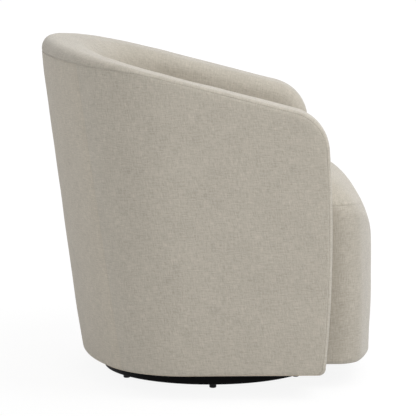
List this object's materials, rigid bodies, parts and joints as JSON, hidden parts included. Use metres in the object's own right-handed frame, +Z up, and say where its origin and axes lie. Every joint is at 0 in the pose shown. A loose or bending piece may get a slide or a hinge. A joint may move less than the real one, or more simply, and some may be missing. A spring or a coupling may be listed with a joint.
{
  "type": "swivel barrel chair",
  "caption": "Upholstered barrel armchair whose arms and back form one sloping padded wall round a deep seat, turning on a low round black plinth with glides.",
  "frame": {"origin": "on the floor under the swivel axis, at the middle of the chair's footprint", "axes": "+Z up, -Y towards the open front of the seat, +X to the sitter's left"},
  "size_m": [0.739, 0.7107, 0.7261],
  "materials": {
    "cover_cloth": "plain linen-like weave in warm greige",
    "foam": "cut upholstery foam with batting",
    "fibreboard": "thin brown fibreboard",
    "plywood": "sanded birch plywood",
    "hardwood": "planed hardwood",
    "grey_felt": "needled felt",
    "webbing": "woven elastic webbing",
    "black_cambric": "thin non-woven dust cloth",
    "spring_steel": "oiled spring wire",
    "zinc_steel": "zinc plated",
    "bearing_steel": "polished",
    "black_steel": "black powder coat",
    "black_board": "board with satin black paint",
    "black_plastic": "moulded, slightly worn",
    "white_plastic": "moulded nylon"
  },
  "bodies": {
    "base": {"base_disc": "black_board", "glides": "black_plastic", "glide_screws": "zinc_steel", "lower_swivel_plate": "black_steel", "lower_plate_screws": "zinc_steel"},
    "ball_set": {"ball_cage": "white_plastic", "bearing_balls": "bearing_steel"},
    "chair": {"upper_swivel_plate": "black_steel", "upper_plate_screws": "zinc_steel", "king_bolt": "zinc_steel", "king_washer": "zinc_steel", "king_nut": "zinc_steel", "frame_screws": "zinc_steel", "bottom_board": "plywood", "front_posts": "hardwood", "side_posts": "hardwood", "back_uprights": "hardwood", "right_arm_rail": "plywood", "left_arm_rail": "plywood", "back_top_rail": "plywood", "right_seat_rail": "hardwood", "left_seat_rail": "hardwood", "rear_seat_rail": "hardwood", "front_seat_rail": "plywood", "front_uprights": "hardwood", "corner_blocks": "hardwood", "seat_springs": "spring_steel", "spring_clips": "zinc_steel", "spring_deck": "grey_felt", "seat_foam": "foam", "seat_front_pad": "foam", "seat_front_board": "fibreboard", "seat_top_cover": "cover_cloth", "seat_border_cover": "cover_cloth", "right_arm_board": "fibreboard", "left_arm_board": "fibreboard", "back_webbing": "webbing", "right_arm_pad": "foam", "left_arm_pad": "foam", "back_pad": "foam", "right_rim_pad": "foam", "left_rim_pad": "foam", "back_rim_pad": "foam", "right_arm_front_pad": "foam", "left_arm_front_pad": "foam", "rear_cover": "cover_cloth", "left_cover": "cover_cloth", "right_cover": "cover_cloth", "inner_cover": "cover_cloth", "rear_board": "fibreboard", "left_board": "fibreboard", "right_board": "fibreboard", "dust_cover": "black_cambric", "dust_cover_staples": "zinc_steel"}
  },
  "joints": [
    {"name": "swivel", "type": "hinge", "parent": "base", "child": "chair", "pos_m": [0, 0, 0.045], "axis": [0, 0, 1], "continuous": true},
    {"name": "ball_orbit", "type": "hinge", "parent": "base", "child": "ball_set", "pos_m": [0, 0, 0.045], "axis": [0, 0, 1], "continuous": true}
  ],
  "couplings": [
    {"joint": "ball_orbit", "follows": "swivel", "ratio": 0.5}
  ]
}
